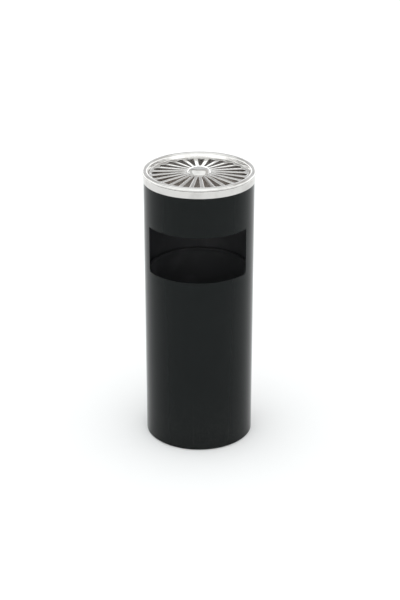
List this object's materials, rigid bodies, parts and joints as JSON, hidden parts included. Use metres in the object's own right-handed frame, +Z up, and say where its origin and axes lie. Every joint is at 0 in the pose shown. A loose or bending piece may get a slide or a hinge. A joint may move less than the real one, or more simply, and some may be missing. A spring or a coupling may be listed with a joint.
{
  "type": "ashtray bin",
  "caption": "Round free-standing ash and litter bin: painted steel drum with a front waste opening, inner bucket, and a stainless ash pan under a slotted grille.",
  "frame": {"origin": "on the floor, under the axis of the drum", "axes": "+Z up along the drum's axis; the waste opening faces -Y; +X is to the right of someone facing the opening"},
  "size_m": [0.25, 0.25, 0.6384],
  "materials": {
    "black_gloss_paint": "glossy black stove enamel on sheet steel",
    "black_satin_paint": "satin black paint on sheet steel",
    "polished_stainless": "mirror-polished stainless steel with fine buffing lines",
    "zinc_plate": "bright zinc-plated steel",
    "black_rubber": "moulded black rubber"
  },
  "bodies": {
    "drum": {"outer_shell": "black_gloss_paint", "rear_seam_strip": "black_gloss_paint", "base_plate": "black_satin_paint", "rubber_foot_rear_right": "black_rubber", "rubber_foot_rear_left": "black_rubber", "rubber_foot_front_left": "black_rubber", "rubber_foot_front_right": "black_rubber", "foot_screws": "zinc_plate", "foot_washers": "zinc_plate", "foot_nuts": "zinc_plate"},
    "top": {"top_collar": "polished_stainless"},
    "pan": {"ash_pan": "polished_stainless"},
    "grille_unit": {"grille": "polished_stainless", "hub_cap": "polished_stainless", "hub_washer": "zinc_plate", "hub_screw": "zinc_plate"},
    "bucket": {"bucket_wall": "black_satin_paint", "bucket_floor": "black_satin_paint", "rim_wire": "zinc_plate", "bail_ear_left": "zinc_plate", "bail_ear_right": "zinc_plate", "ear_rivets": "zinc_plate"},
    "bail": {"bail_handle": "zinc_plate"}
  },
  "joints": [
    {"name": "bucket_lift", "type": "slide", "parent": "drum", "child": "bucket", "axis": [0, 0, 1], "range_m": [0, 0.655]},
    {"name": "top_lift", "type": "slide", "parent": "drum", "child": "top", "axis": [0, 0, 1], "range_m": [0, 0.73]},
    {"name": "pan_lift", "type": "slide", "parent": "top", "child": "pan", "axis": [0, 0, 1], "range_m": [0, 0.12]},
    {"name": "grille_lift", "type": "slide", "parent": "pan", "child": "grille_unit", "axis": [0, 0, 1], "range_m": [0, 0.08]},
    {"name": "bail_swing", "type": "hinge", "parent": "bucket", "child": "bail", "pos_m": [0, 0, 0.383], "axis": [1, 0, 0], "range_deg": [0, 216.8]}
  ],
  "couplings": [
    {"joint": "top_lift", "follows": "bucket_lift", "ratio": 1.1}
  ]
}
